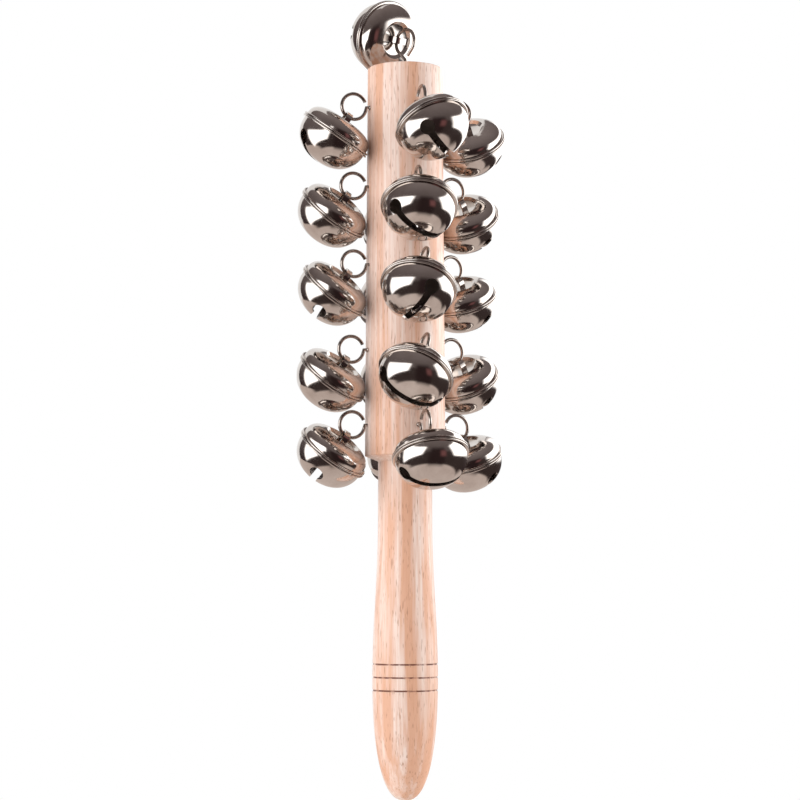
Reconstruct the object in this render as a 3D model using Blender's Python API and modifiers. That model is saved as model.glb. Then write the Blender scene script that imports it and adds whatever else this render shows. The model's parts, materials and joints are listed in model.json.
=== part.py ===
"""Jingle bell stick: a turned wooden stick with bells hung on screw eyes along its barrel.

The stick stands upright along Z, with the origin on its axis at the middle of the handle. Four
columns of five eyes go round the barrel, and one more eye stands in the middle of its top. Each
bell is one crimped and riveted piece: a dome, a bowl with a slot, and the strap that the eye
passes through. A loose steel ball lies inside it. Every bell is drawn in its own frame, with its
origin at the centre of the eye's loop and its axis along Z, and is then swung until it leans on
the wood.
"""

import math

import bmesh
import bpy
from mathutils import Matrix, Vector
from mathutils.geometry import intersect_line_line_2d

MM = 0.001
DEGREE = math.radians(1)

# Stick: barrel above, handle below
BARREL_LENGTH = 126.5 * MM
BARREL_TOP_RADIUS = 12.2 * MM
BARREL_FOOT_RADIUS = 12.95 * MM
BARREL_EDGE_ROUNDING = 0.5 * MM
SHOULDER_DROP = 1.6 * MM
HANDLE_LENGTH = 109.5 * MM
NECK_RADIUS = 8.7 * MM
NECK_LENGTH = 20 * MM
GRIP_RADIUS = 10.45 * MM
GRIP_DEPTH = 70.5 * MM
NOSE_TAPER = 2.3
NOSE_BLUNTNESS = 0.4
RING_COUNT = 3
RING_SPACING = 4.15 * MM
RING_WIDTH = 0.6 * MM
RING_DEPTH = 0.2 * MM

# Screw eyes, and the holes that they are screwed into
WIRE_RADIUS = 0.55 * MM
LOOP_RADIUS = 4.17 * MM
SIDE_EYE_REACH = 5.15 * MM
TOP_EYE_REACH = 9.1 * MM
LOOP_NECK = 5.9 * MM
SIDE_EYE_OPENING = 1.6 * MM
TOP_EYE_OPENING = 1.2 * MM
THREAD_RADIUS = 0.8 * MM
THREAD_LENGTH = 8.2 * MM
THREAD_POINT = 1.2 * MM
ROW_DROPS = (13.7 * MM, 39.3 * MM, 64.9 * MM, 92.3 * MM, 116.7 * MM)

# Bells
BODY_RADIUS = 11.4 * MM
DOME_HEIGHT = 5.5 * MM
BOWL_DEPTH = 10.5 * MM
WALL = 0.5 * MM
DOME_FULLNESS = 2.6
BOWL_FULLNESS = 2.2
BEAD_OVERHANG = 0.8 * MM
BEAD_THICKNESS = 1.5 * MM
CREST_RADIUS = 6.1 * MM
RECESS_RADIUS = 5.4 * MM
RECESS_DEPTH = 0.9 * MM
STRAP_WIDTH = 2 * MM
STRAP_THICKNESS = 0.5 * MM
STRAP_HEIGHT = 3.75 * MM
STRAP_SPAN = 5.8 * MM
STRAP_FULLNESS = 3
SLOT_WIDTH = 2.3 * MM
SLOT_HOLE_RADIUS = 2.4 * MM
SLOT_REACH = 56 * DEGREE
BALL_RADIUS = 2.5 * MM

# Clearances between pieces that touch
SEAT_GAP = 0.3 * MM
STRAP_GAP = 0.4 * MM
BALL_GAP = 0.4 * MM
BALL_SIDE_GAP = 0.6 * MM

# How many flats stand in for a round
STICK_SIDES = 24
BELL_SIDES = 12
DOME_STEPS = 3
BOWL_STEPS = 4
SWELL_STEPS = 8
NOSE_STEPS = 9
LOOP_STEPS = 12
STRAP_STEPS = 2
HOLE_SIDES = 8
SKIN_SIDES = 48
WELD = 0.001 * MM

# Where each column of eyes is, and how its eyes and bells have settled, top row first: the eye's
# turn round the stick, how many millimetres it stands further out and lower than its row, and the
# tilt of its loop; then the bell's lean across its swing and the turn of its slot from the strap.
# The top bell lies on its side, its strap slack on the eye
COLUMN_ANGLES = {"front": -90, "right": 0, "rear": 90, "left": 180}
SETTLED = {
    "front": (
        (-5, 0.4, -0.3, 0, 14, 48),
        (-8.5, 0, 0.1, 0, -9, 28),
        (-4, 0.5, 0.4, -15, -5.5, 99),
        (-4, 1.1, 0.5, -15, -14, 0),
        (-2, 0.7, 0.4, 0, 0, 176),
    ),
    "right": (
        (-3, 1, -0.1, 0, 30, 32),
        (6.5, 0.1, -0.4, 0, 26, 3),
        (14, 1, -0.6, 0, 16, 10),
        (10, 0, -0.5, 0, 19, 2),
        (6.5, 1, 0, 0, 13, 15),
    ),
    "rear": (
        (-3, 0, 0, 0, -56, 35),
        (1, 0, 0, 0, -52, 80),
        (4, 0, 0, 0, -52, 140),
        (4, 0, 0, 0, -56, 10),
        (-1, 0, 0, 0, -60, 60),
    ),
    "left": (
        (0, 0.4, 0, 0, -18.5, 110),
        (-4, 0, 0.1, 0, -29, 82),
        (0, 0, 0, 0, -28.5, 171),
        (-1, 0.6, 0.2, 0, -28.5, 85),
        (-2, 0, 0, 0, -27, 165),
    ),
}
TOP_TURN = 112.5
TOP_SLACK = 1.4 * MM
TOP_SLOT_TURN = 3
# The cells of the bells in the rear column's upper rows are left without their ball
BALLS_LEFT_OUT = ("rear_1", "rear_2", "rear_3", "rear_4")

# Heights of the stick's stations
BARREL_FOOT = HANDLE_LENGTH / 2
BARREL_TOP = BARREL_FOOT + BARREL_LENGTH
GRIP_HEIGHT = BARREL_FOOT - GRIP_DEPTH
STICK_TIP = BARREL_FOOT - HANDLE_LENGTH

# Heights in a bell's frame, under the centre of the loop
STRAP_UNDERSIDE = -LOOP_RADIUS + WIRE_RADIUS + STRAP_GAP
STRAP_CROWN = STRAP_UNDERSIDE + STRAP_THICKNESS
RECESS_FLOOR = STRAP_CROWN - STRAP_HEIGHT
SEAM = RECESS_FLOOR + RECESS_DEPTH - DOME_HEIGHT
BEAD_RADIUS = BODY_RADIUS + BEAD_OVERHANG


def clear_scene():
    """Remove every object of the opened scene."""
    for obj in list(bpy.data.objects):
        bpy.data.objects.remove(obj, do_unlink=True)


def new_collection(name):
    """Add a collection to the scene."""
    collection = bpy.data.collections.new(name)
    bpy.context.scene.collection.children.link(collection)
    return collection


def new_material(name, color, roughness, metallic):
    """A plain Principled material in one colour."""
    material = bpy.data.materials.new(name)
    material.use_nodes = True
    shader = material.node_tree.nodes["Principled BSDF"]
    shader.inputs["Base Color"].default_value = (*color, 1)
    shader.inputs["Roughness"].default_value = roughness
    shader.inputs["Metallic"].default_value = metallic
    material.diffuse_color = (*color, 1)
    return material


def barrel_radius(height):
    """The barrel's radius at a height: it tapers towards its top."""
    share = (height - BARREL_FOOT) / BARREL_LENGTH
    return BARREL_FOOT_RADIUS + (BARREL_TOP_RADIUS - BARREL_FOOT_RADIUS) * share


def handle_radius(height):
    """The handle's radius at a height: a straight neck, a swell to the grip and a blunt nose."""
    below_neck = BARREL_FOOT - NECK_LENGTH - height
    swell_length = GRIP_DEPTH - NECK_LENGTH
    if below_neck <= 0:
        return NECK_RADIUS
    if below_neck < swell_length:
        share = (1 - math.cos(math.pi * below_neck / swell_length)) / 2
        return NECK_RADIUS + (GRIP_RADIUS - NECK_RADIUS) * share
    share = min((GRIP_HEIGHT - height) / (GRIP_HEIGHT - STICK_TIP), 1)
    return GRIP_RADIUS * (1 - share**NOSE_TAPER) ** NOSE_BLUNTNESS


def stick_profile():
    """The stick's outline from the middle of its top, down its side to the tip of the handle."""
    edge = BARREL_EDGE_ROUNDING
    points = [
        (0, BARREL_TOP),
        (BARREL_TOP_RADIUS - edge, BARREL_TOP),
        (BARREL_TOP_RADIUS - edge * (1 - math.sqrt(0.5)), BARREL_TOP - edge * (1 - math.sqrt(0.5))),
        (barrel_radius(BARREL_TOP - edge), BARREL_TOP - edge),
        (BARREL_FOOT_RADIUS, BARREL_FOOT),
        (NECK_RADIUS, BARREL_FOOT - SHOULDER_DROP),
    ]
    swell_top = BARREL_FOOT - NECK_LENGTH
    heights = [swell_top + (GRIP_HEIGHT - swell_top) * i / SWELL_STEPS for i in range(SWELL_STEPS)]
    for i in range(NOSE_STEPS):
        heights.append(GRIP_HEIGHT - (GRIP_HEIGHT - STICK_TIP) * math.sin(math.pi / 2 * i / NOSE_STEPS))
    half = RING_WIDTH / 2
    rings = [GRIP_HEIGHT + RING_SPACING * (i - (RING_COUNT - 1) / 2) for i in range(RING_COUNT)]
    handle = [
        (handle_radius(z), z) for z in heights if all(abs(z - ring) > RING_WIDTH for ring in rings)
    ]
    for ring in rings:
        handle.append((handle_radius(ring + half), ring + half))
        handle.append((handle_radius(ring) - RING_DEPTH, ring))
        handle.append((handle_radius(ring - half), ring - half))
    return points + sorted(handle, key=lambda point: -point[1]) + [(0, STICK_TIP)]


def quarter_oval(radius, height, fullness, start, end, steps):
    """Points (r, z) of an oval's quarter between two turns, 0 at its widest and 90 degrees on top."""
    points = []
    for i in range(steps + 1):
        turn = start + (end - start) * i / steps
        across = max(math.cos(turn), 0) ** (2 / fullness)
        points.append((radius * across, height * math.sin(turn) ** (2 / fullness)))
    return points


def bell_skin(inset):
    """The bell's outline inset by a wall, from the middle of its recess down to its lowest point."""
    half_bead = BEAD_THICKNESS / 2
    crest_turn = math.acos((CREST_RADIUS / BODY_RADIUS) ** (DOME_FULLNESS / 2))
    dome_rise = (DOME_HEIGHT - half_bead) / math.sin(crest_turn) ** (2 / DOME_FULLNESS)
    radius = BODY_RADIUS - inset
    dome = quarter_oval(radius, dome_rise - inset, DOME_FULLNESS, crest_turn, 0, DOME_STEPS)
    bowl_drop = BOWL_DEPTH - half_bead - inset
    bowl = quarter_oval(radius, bowl_drop, BOWL_FULLNESS, 0, math.pi / 2, BOWL_STEPS)
    floor = RECESS_FLOOR - inset
    top = [(0, floor), (RECESS_RADIUS if inset else RECESS_RADIUS - RECESS_DEPTH / 3, floor)]
    upper = [(r, SEAM + half_bead + z) for r, z in dome]
    lower = [(r, SEAM - half_bead - z) for r, z in bowl]
    lower[-1] = (0, lower[-1][1])
    return top, upper, lower


def bell_outside():
    """The outline of the closed bell, with the crimped bead round its seam."""
    top, upper, lower = bell_skin(0)
    bead = [(BEAD_RADIUS, SEAM + BEAD_THICKNESS / 4), (BEAD_RADIUS, SEAM - BEAD_THICKNESS / 4)]
    return top + upper + bead + lower


def bell_inside():
    """The outline of the room inside the bell: the dome's points over the recess are left out."""
    top, upper, lower = bell_skin(WALL)
    ceiling = top[0][1]
    return top[:1] + [point for point in upper if point[1] < ceiling] + lower


def turned(name, profile, steps, collection):
    """A solid turned about Z from an outline that starts and ends on the axis."""
    mesh = bpy.data.meshes.new(name)
    vertices = [(r, 0, z) for r, z in profile]
    mesh.from_pydata(vertices, [(i, i + 1) for i in range(len(vertices) - 1)], [])
    obj = bpy.data.objects.new(name, mesh)
    collection.objects.link(obj)
    screw = obj.modifiers.new("turn", "SCREW")
    screw.steps = steps
    screw.render_steps = steps
    screw.use_merge_vertices = True
    screw.merge_threshold = WELD
    screw.use_smooth_shade = True
    return obj


def as_mesh(obj):
    """The object's shape with its modifiers applied, its caps welded and its own frame kept."""
    bpy.context.view_layer.update()
    evaluated = obj.evaluated_get(bpy.context.evaluated_depsgraph_get())
    mesh = bpy.data.meshes.new_from_object(evaluated)
    work = bmesh.new()
    work.from_mesh(mesh)
    bmesh.ops.remove_doubles(work, verts=work.verts, dist=WELD)
    work.to_mesh(mesh)
    work.free()
    return mesh


def baked(obj, collection):
    """Replace an object by a plain mesh of the same name and place."""
    mesh = as_mesh(obj)
    name = obj.name
    matrix = obj.matrix_world.copy()
    bpy.data.objects.remove(obj, do_unlink=True)
    result = bpy.data.objects.new(name, mesh)
    result.matrix_world = matrix
    collection.objects.link(result)
    return result


def hide_cutter(cutter):
    """Keep a cutting shape out of the render and show it as wire."""
    cutter.hide_render = True
    cutter.display_type = "WIRE"


def cut(obj, cutter, operation="DIFFERENCE"):
    """Add an exact Boolean between an object and another."""
    modifier = obj.modifiers.new(cutter.name, "BOOLEAN")
    modifier.operation = operation
    modifier.solver = "EXACT"
    modifier.object = cutter


def smooth(mesh, sharp_above=40 * DEGREE):
    """Shade a mesh smooth, with its real corners kept sharp."""
    mesh.shade_smooth()
    mesh.set_sharp_from_angle(angle=sharp_above)


def strap_outline():
    """The strap seen along the eye's wire: an arch whose feet end halfway through the wall."""
    foot = RECESS_FLOOR - WALL / 2
    rise = STRAP_CROWN - foot
    outer = quarter_oval(STRAP_SPAN / 2, rise, STRAP_FULLNESS, 0, math.pi / 2, STRAP_STEPS)
    inner_span = STRAP_SPAN / 2 - STRAP_THICKNESS
    inner_rise = rise - STRAP_THICKNESS
    inner = quarter_oval(inner_span, inner_rise, STRAP_FULLNESS, 0, math.pi / 2, STRAP_STEPS)
    half = [(across, foot + up) for across, up in outer]
    half_inside = [(across, foot + up) for across, up in inner]
    over = half + [(-across, up) for across, up in reversed(half[:-1])]
    under = half_inside + [(-across, up) for across, up in reversed(half_inside[:-1])]
    return over + list(reversed(under))


def flat_plate(name, outline, thickness, collection):
    """A plate cut to an outline, as a filled curve in its own XY plane."""
    curve = bpy.data.curves.new(name, "CURVE")
    curve.dimensions = "2D"
    curve.fill_mode = "BOTH"
    curve.extrude = thickness / 2
    spline = curve.splines.new("POLY")
    spline.points.add(len(outline) - 1)
    for point, (x, y) in zip(spline.points, outline):
        point.co = (x, y, 0, 1)
    spline.use_cyclic_u = True
    obj = bpy.data.objects.new(name, curve)
    collection.objects.link(obj)
    return obj


def make_strap(collection):
    """The strap in the bell's frame: its outline lies across the swing."""
    plate = flat_plate("strap", strap_outline(), STRAP_WIDTH, collection)
    plate.matrix_world = Matrix(((0, 0, 1, 0), (1, 0, 0, 0), (0, 1, 0, 0), (0, 0, 0, 1)))
    return baked(plate, collection)


def make_slot_cutter(turn, collection):
    """The slot across the bowl with a round hole at each end, turned about the bell's axis."""
    work = bmesh.new()
    hole_out = BODY_RADIUS * math.sin(SLOT_REACH)
    depth = BOWL_DEPTH
    size = Matrix.Diagonal((SLOT_WIDTH, 2 * hole_out, depth, 1))
    cheek = SEAM - BOWL_DEPTH * math.cos(SLOT_REACH) + SLOT_WIDTH
    bmesh.ops.create_cube(work, size=1, matrix=Matrix.Translation((0, 0, cheek - depth / 2)) @ size)
    mesh = bpy.data.meshes.new("slot")
    work.to_mesh(mesh)
    work.free()
    slot = bpy.data.objects.new("slot", mesh)
    slot.matrix_world = Matrix.Rotation(turn, 4, "Z")
    collection.objects.link(slot)
    holes = []
    for side in (-1, 1):
        tilt = Matrix.Rotation(side * SLOT_REACH, 4, "X")
        drill = bmesh.new()
        bmesh.ops.create_cone(
            drill,
            cap_ends=True,
            segments=HOLE_SIDES,
            radius1=SLOT_HOLE_RADIUS,
            radius2=SLOT_HOLE_RADIUS,
            depth=BOWL_DEPTH,
            matrix=Matrix.Translation((0, 0, -BOWL_DEPTH)),
        )
        drill_mesh = bpy.data.meshes.new("slot_hole")
        drill.to_mesh(drill_mesh)
        drill.free()
        hole = bpy.data.objects.new("slot_hole", drill_mesh)
        hole.matrix_world = Matrix.Rotation(turn, 4, "Z") @ Matrix.Translation((0, 0, SEAM)) @ tilt
        collection.objects.link(hole)
        holes.append(hole)
    return [slot] + holes


def make_bell_mesh(slot_turn, scratch):
    """One whole bell as a mesh in its own frame, cut from solids that are then removed."""
    bell = turned("bell", bell_outside(), BELL_SIDES, scratch)
    room = turned("room", bell_inside(), BELL_SIDES, scratch)
    strap = make_strap(scratch)
    cutters = [room] + make_slot_cutter(slot_turn, scratch)
    cut(bell, strap, "UNION")
    for cutter in cutters:
        cut(bell, cutter)
    mesh = as_mesh(bell)
    smooth(mesh)
    for obj in [bell, strap] + cutters:
        bpy.data.objects.remove(obj, do_unlink=True)
    return mesh


def eye_path(reach, mouth):
    """Points of an eye's wire and each one's radius, from the point of its thread to its free end.

    The loop's centre is the origin, X points out of the wood and Z is along the loop's plane. The
    free end stops a mouth's width away from the middle of the shank.
    """
    neck = min(LOOP_NECK, reach - WIRE_RADIUS - SEAT_GAP)
    tangent = math.acos(LOOP_RADIUS / neck)
    opening = math.asin(mouth / LOOP_RADIUS)
    points = [
        ((-reach - THREAD_LENGTH, 0), WIRE_RADIUS / 2),
        ((-reach - THREAD_LENGTH + THREAD_POINT, 0), THREAD_RADIUS),
        ((-reach, 0), THREAD_RADIUS),
        ((-neck, 0), WIRE_RADIUS),
    ]
    start = math.pi + tangent
    end = 3 * math.pi - max(tangent, opening)
    for i in range(LOOP_STEPS + 1):
        turn = start + (end - start) * i / LOOP_STEPS
        points.append(((LOOP_RADIUS * math.cos(turn), LOOP_RADIUS * math.sin(turn)), WIRE_RADIUS))
    if tangent > opening:
        share = mouth / (LOOP_RADIUS * math.sin(tangent))
        last_x = -neck + share * (neck - LOOP_RADIUS * math.cos(tangent))
        points.append(((last_x, mouth), WIRE_RADIUS))
    return points


def make_eye_curve(name, reach, mouth):
    """A screw eye bent from one length of wire."""
    curve = bpy.data.curves.new(name, "CURVE")
    curve.dimensions = "3D"
    curve.bevel_depth = WIRE_RADIUS
    curve.bevel_resolution = 1
    curve.use_fill_caps = True
    points = eye_path(reach, mouth)
    spline = curve.splines.new("POLY")
    spline.points.add(len(points) - 1)
    for point, ((x, z), radius) in zip(spline.points, points):
        point.co = (x, 0, z, 1)
        point.radius = radius / WIRE_RADIUS
    return curve


def make_ball_mesh():
    """The steel ball that rings the bell."""
    work = bmesh.new()
    bmesh.ops.create_icosphere(work, subdivisions=2, radius=BALL_RADIUS)
    mesh = bpy.data.meshes.new("ball")
    work.to_mesh(mesh)
    work.free()
    smooth(mesh, math.pi)
    return mesh


def gap_to_wood(point):
    """Distance from a point to the barrel or the neck under it, below zero inside the wood."""
    out = math.hypot(point.x, point.y)
    beyond = max(point.z - BARREL_TOP, BARREL_FOOT - point.z)
    beside = out - barrel_radius(min(max(point.z, BARREL_FOOT), BARREL_TOP))
    barrel = math.hypot(beside, beyond) if beside > 0 and beyond > 0 else max(beside, beyond)
    neck = max(out - NECK_RADIUS, point.z - BARREL_FOOT)
    return min(barrel, neck)


def lean_matrix(lean):
    """The tilt of a bell across its swing, about the wire that its strap hangs on."""
    down = Matrix.Translation((0, 0, -LOOP_RADIUS))
    return down @ Matrix.Rotation(lean, 4, "X") @ down.inverted()


def swing_matrix(swing):
    """The swing of a bell away from the wood, about the centre of its loop."""
    return Matrix.Rotation(-swing, 4, "Y")


def resting_swing(frame, hang):
    """The swing at which a bell's skin comes to lie its seat gap away from the wood."""
    rounds = [2 * math.pi * i / SKIN_SIDES for i in range(SKIN_SIDES)]
    skin = [Vector((r * math.cos(a), r * math.sin(a), z)) for r, z in bell_outside() for a in rounds]
    hung = [hang @ point for point in skin]
    touching = 0
    clear = math.pi / 2
    while clear - touching > DEGREE / 100:
        middle = (touching + clear) / 2
        pose = frame @ swing_matrix(middle)
        if min(gap_to_wood(pose @ point) for point in hung) > SEAT_GAP:
            clear = middle
        else:
            touching = middle
    return clear


def side_frame(angle, drop, out, tilt):
    """The frame of an eye on the barrel's side: X out of the wood, Z up along its loop."""
    height = BARREL_TOP - drop
    place = Matrix.Translation((barrel_radius(height) + SIDE_EYE_REACH + out, 0, height))
    return Matrix.Rotation(angle, 4, "Z") @ place @ Matrix.Rotation(tilt, 4, "X")


def top_frame():
    """The frame of the eye on the barrel's top: X up, and Z away from where its bell lies."""
    place = Matrix.Translation((0, 0, BARREL_TOP + TOP_EYE_REACH))
    aim = Matrix.Rotation(TOP_TURN * DEGREE, 4, "Z")
    return place @ aim @ Matrix.Rotation(-math.pi / 2, 4, "Y")


def hangers():
    """Each eye's name, frame and reach, with how its bell hangs in it and its slot's turn."""
    for column, settled in SETTLED.items():
        for row, (turn, out, down, tilt, lean, slot_turn) in enumerate(settled):
            angle = (COLUMN_ANGLES[column] + turn) * DEGREE
            frame = side_frame(angle, ROW_DROPS[row] + down * MM, out * MM, tilt * DEGREE)
            hang = lean_matrix(lean * DEGREE)
            yield f"{column}_{row + 1}", frame, SIDE_EYE_REACH, hang, slot_turn * DEGREE
    hang = Matrix.Translation((0, 0, TOP_SLACK))
    yield "top", top_frame(), TOP_EYE_REACH, hang, TOP_SLOT_TURN * DEGREE


def new_part(name, data, material, world, collection, parent=None, parent_world=None):
    """Put a named part at a place in the world, under a parent where it has one."""
    obj = bpy.data.objects.new(name, data)
    collection.objects.link(obj)
    if material and not data.materials:
        data.materials.append(material)
    if parent:
        obj.parent = parent
        obj.matrix_basis = parent_world.inverted() @ world
    else:
        obj.matrix_world = world
    return obj


def make_stick(material, collection, cutters):
    """The turned stick, drilled for every eye."""
    stick = turned("stick", stick_profile(), STICK_SIDES, collection)
    stick.data.materials.append(material)
    work = bmesh.new()
    depth = THREAD_LENGTH + SEAT_GAP
    hole_radius = THREAD_RADIUS + SEAT_GAP
    for _, frame, reach, _, _ in hangers():
        middle = -reach - depth / 2 + BARREL_EDGE_ROUNDING
        aim = Matrix.Translation((middle, 0, 0)) @ Matrix.Rotation(math.pi / 2, 4, "Y")
        bmesh.ops.create_cone(
            work,
            cap_ends=True,
            segments=HOLE_SIDES,
            radius1=hole_radius,
            radius2=hole_radius,
            depth=depth + 2 * BARREL_EDGE_ROUNDING,
            matrix=frame @ aim,
        )
    mesh = bpy.data.meshes.new("eye_holes")
    work.to_mesh(mesh)
    work.free()
    holes = bpy.data.objects.new("eye_holes", mesh)
    cutters.objects.link(holes)
    hide_cutter(holes)
    cut(stick, holes)
    return stick


def wall_distance(off_pole):
    """From the seam's centre to the flats of the bowl's wall, at an angle off the bowl's lowest point."""
    flat = math.cos(math.pi / BELL_SIDES)
    wall = [Vector((r * flat, SEAM - z)) for r, z in bell_skin(WALL)[2]]
    far = 2 * BODY_RADIUS * Vector((math.sin(off_pole), math.cos(off_pole)))
    hits = [intersect_line_line_2d(Vector((0, 0)), far, a, b) for a, b in zip(wall, wall[1:])]
    return min(hit.length for hit in hits if hit)


def ball_place(seam_centre, bell_axis, lean, on_side):
    """Where the ball lies: low in the bowl, or on the seam's wall of a bell on its side.

    In the bowl it rolls on a circle that passes the lowest point at the bell's lean, where the wall
    is nearest, and it stays clear of that.
    """
    if not on_side:
        path = wall_distance(lean) - BALL_GAP - BALL_RADIUS
        return seam_centre - Vector((0, 0, path))
    down = Vector((0, 0, -1))
    across = (down - down.dot(bell_axis) * bell_axis).normalized()
    return seam_centre + across * (BODY_RADIUS - WALL - BALL_SIDE_GAP - BALL_RADIUS)


def hang_bell(name, frame, hang, slot_turn, plating, steel, ball_mesh, collection, cutters):
    """A bell on its hinge, and its ball on the centre that it rolls round."""
    hinge_world = frame @ swing_matrix(resting_swing(frame, hang))
    hinge = bpy.data.objects.new(f"hinge_{name}", None)
    hinge.matrix_world = hinge_world
    collection.objects.link(hinge)
    bell_world = hinge_world @ hang
    mesh = make_bell_mesh(slot_turn, cutters)
    new_part(f"bell_{name}", mesh, plating, bell_world, collection, hinge, hinge_world)
    if name in BALLS_LEFT_OUT:
        return
    seam_centre = bell_world @ Vector((0, 0, SEAM))
    bell_axis = bell_world.to_3x3() @ Vector((0, 0, 1))
    middle_world = Matrix.Translation(seam_centre)
    middle = bpy.data.objects.new(f"ball_centre_{name}", None)
    middle.parent = hinge
    middle.matrix_basis = hinge_world.inverted() @ middle_world
    collection.objects.link(middle)
    lean = hang.to_quaternion().angle
    ball_world = Matrix.Translation(ball_place(seam_centre, bell_axis, lean, name == "top"))
    new_part(f"ball_{name}", ball_mesh, steel, ball_world, collection, middle, middle_world)


def main():
    clear_scene()
    parts = new_collection("jingle_bell_stick")
    cutters = new_collection("cutters")
    beech = new_material("beech", (0.62, 0.36, 0.21), 0.4, 0)
    nickel = new_material("nickel", (0.66, 0.63, 0.59), 0.12, 1)
    eye_wire = new_material("eye_wire", (0.6, 0.58, 0.55), 0.2, 1)
    steel = new_material("steel", (0.45, 0.45, 0.46), 0.3, 1)
    make_stick(beech, parts, cutters)
    side_eye = make_eye_curve("side_eye", SIDE_EYE_REACH, SIDE_EYE_OPENING)
    top_eye = make_eye_curve("top_eye", TOP_EYE_REACH, TOP_EYE_OPENING)
    ball_mesh = make_ball_mesh()
    for name, frame, reach, hang, slot_turn in hangers():
        eye_curve = top_eye if reach == TOP_EYE_REACH else side_eye
        new_part(f"eye_{name}", eye_curve, eye_wire, frame, parts)
        hang_bell(name, frame, hang, slot_turn, nickel, steel, ball_mesh, parts, cutters)


main()
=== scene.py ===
"""Scene of a jingle bell stick: a turned beech stick with plated bells hung on screw eyes.

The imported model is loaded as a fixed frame. Its plain solids are replaced by fine pieces that are
made from the same driving sizes, each of which rides on its own body.
"""

from __future__ import annotations

import json
import logging
import math
from dataclasses import dataclass, field
from enum import Enum

import bmesh
import bpy
from mathutils import Matrix, Vector
from mathutils.geometry import intersect_line_line_2d

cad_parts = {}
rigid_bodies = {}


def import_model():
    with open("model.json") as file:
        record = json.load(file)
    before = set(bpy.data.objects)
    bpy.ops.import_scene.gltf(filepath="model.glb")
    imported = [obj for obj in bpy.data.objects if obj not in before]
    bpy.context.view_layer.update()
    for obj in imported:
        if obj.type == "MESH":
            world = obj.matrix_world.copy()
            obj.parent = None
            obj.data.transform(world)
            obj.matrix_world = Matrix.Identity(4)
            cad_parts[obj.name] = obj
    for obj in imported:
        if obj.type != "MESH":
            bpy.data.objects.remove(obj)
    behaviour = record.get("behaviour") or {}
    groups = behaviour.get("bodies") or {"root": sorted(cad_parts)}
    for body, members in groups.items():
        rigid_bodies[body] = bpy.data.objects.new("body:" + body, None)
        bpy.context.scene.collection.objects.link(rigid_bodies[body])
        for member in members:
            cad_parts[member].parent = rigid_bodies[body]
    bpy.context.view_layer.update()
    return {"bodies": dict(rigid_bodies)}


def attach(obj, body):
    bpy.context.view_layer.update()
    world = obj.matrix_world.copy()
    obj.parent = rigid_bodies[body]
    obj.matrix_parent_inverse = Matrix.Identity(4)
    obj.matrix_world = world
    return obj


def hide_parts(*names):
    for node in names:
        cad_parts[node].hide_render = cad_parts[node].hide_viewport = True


LOG = logging.getLogger("jingle_bell_stick")
MM = 0.001
OWN_PLACE = "own_place"
EVEN = (1, 1, 1)
PROFILE = list[tuple[float, float]]
Color = tuple[float, float, float]


class Slot(Enum):
    """Material slots of the record."""

    WOOD = "wood"
    BELL = "bell_shell"
    WIRE = "eye_wire"
    BALL = "ball"


class Side(Enum):
    """Sides of a shell's sheet, as the order of its finishes."""

    OUTSIDE = 0
    INSIDE = 1
    EDGE = 2


@dataclass(frozen=True)
class StickSize:
    """Driving sizes of the stick, in metres."""

    barrel_length: float = 126.5 * MM
    barrel_top_radius: float = 12.2 * MM
    barrel_foot_radius: float = 12.95 * MM
    edge_rounding: float = 0.5 * MM
    shoulder_drop: float = 1.6 * MM
    handle_length: float = 109.5 * MM
    neck_radius: float = 8.7 * MM
    neck_length: float = 20 * MM
    grip_radius: float = 10.45 * MM
    grip_depth: float = 70.5 * MM
    nose_taper: float = 2.3
    nose_bluntness: float = 0.4
    foot_fillet: float = 0.3 * MM
    foot_lip: float = 0.15 * MM
    profile_step: float = 1 * MM
    barrel_step: float = 10 * MM
    nose_steps: int = 60
    ring_count: int = 3
    ring_spacing: float = 4.15 * MM
    ring_width: float = 0.7 * MM
    ring_depth: float = 0.2 * MM
    sides: int = 128

    @property
    def barrel_foot(self) -> float:
        """Height of the barrel's lower edge over the middle of the handle."""
        return self.handle_length / 2

    @property
    def barrel_top(self) -> float:
        """Height of the barrel's flat top."""
        return self.barrel_foot + self.barrel_length

    @property
    def grip_height(self) -> float:
        """Height of the handle's thickest place."""
        return self.barrel_foot - self.grip_depth

    @property
    def tip(self) -> float:
        """Height of the handle's lower end."""
        return self.barrel_foot - self.handle_length

    def barrel_radius(self, height: float) -> float:
        """Radius of the tapered barrel.

        Args:
            height: Height in the row frame.

        Returns:
            The radius there.
        """
        share = (height - self.barrel_foot) / self.barrel_length
        return self.barrel_foot_radius + (self.barrel_top_radius - self.barrel_foot_radius) * share

    def handle_radius(self, height: float) -> float:
        """Radius of the handle without its rings.

        Args:
            height: Height in the row frame.

        Returns:
            The radius there.
        """
        below_neck = self.barrel_foot - self.neck_length - height
        swell = self.grip_depth - self.neck_length
        if below_neck <= 0:
            return self.neck_radius
        if below_neck < swell:
            share = (1 - math.cos(math.pi * below_neck / swell)) / 2
            return self.neck_radius + (self.grip_radius - self.neck_radius) * share
        share = min((self.grip_height - height) / (self.grip_height - self.tip), 1)
        return self.grip_radius * (1 - share**self.nose_taper) ** self.nose_bluntness

    def ring_heights(self) -> list[float]:
        """Heights of the burnt rings round the grip."""
        middle = (self.ring_count - 1) / 2
        return [self.grip_height + self.ring_spacing * (i - middle) for i in range(self.ring_count)]


@dataclass(frozen=True)
class EyeSize:
    """Driving sizes of a screw eye, in metres."""

    wire_radius: float = 0.55 * MM
    loop_radius: float = 4.17 * MM
    side_reach: float = 5.15 * MM
    top_reach: float = 9.1 * MM
    neck: float = 5.9 * MM
    side_mouth: float = 1.6 * MM
    top_mouth: float = 1.2 * MM
    thread_radius: float = 0.8 * MM
    thread_length: float = 8.2 * MM
    thread_point: float = 1.2 * MM
    thread_cover: float = 0.2 * MM
    gap: float = 0.3 * MM
    steps: int = 48


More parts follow.
